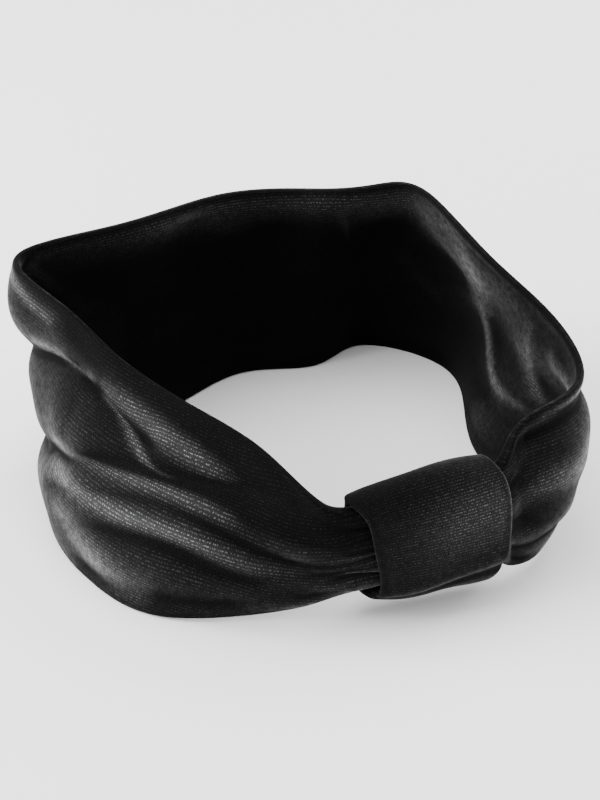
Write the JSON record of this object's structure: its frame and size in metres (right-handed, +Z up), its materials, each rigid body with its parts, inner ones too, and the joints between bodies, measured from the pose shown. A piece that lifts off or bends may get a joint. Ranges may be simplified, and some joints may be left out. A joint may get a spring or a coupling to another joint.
{
  "type": "knot headband",
  "caption": "Wide soft velvet headband: a two-layer knitted band, gathered at the front and held by a wrapped loop of the same cloth.",
  "frame": {"origin": "middle of the overall bounding box, at its base, where the lower rim stands", "axes": "+X to the wearer's left, along the loop; +Y from the loop at the front to the nape; +Z up, from the lower rim to the upper rim"},
  "size_m": [0.1667, 0.1596, 0.0723],
  "materials": {
    "velvet_face": "black stretch velvet pile, fine ribs along the band",
    "velvet_lining": "black stretch velvet pile, fine ribs along the band",
    "velvet_loop": "black stretch velvet pile, fine ribs across the loop",
    "velvet_loop_lining": "black stretch velvet pile",
    "thread": "matte black spun thread"
  },
  "bodies": {
    "band": {"band_outer_panel": "velvet_face", "band_lining_panel": "velvet_lining", "upper_seam_stitches": "thread", "lower_seam_stitches": "thread", "left_gather_stitches": "thread", "right_gather_stitches": "thread", "end_join_stitches": "thread"},
    "loop": {"loop_outer_strip": "velvet_loop", "loop_lining_strip": "velvet_loop_lining", "loop_left_stitches": "thread", "loop_right_stitches": "thread", "loop_closing_stitches": "thread"}
  },
  "joints": [
    {"name": "loop_slide", "type": "slide", "parent": "band", "child": "loop", "axis": [1, 0, 0], "range_m": [-0.003, 0.003]}
  ]
}
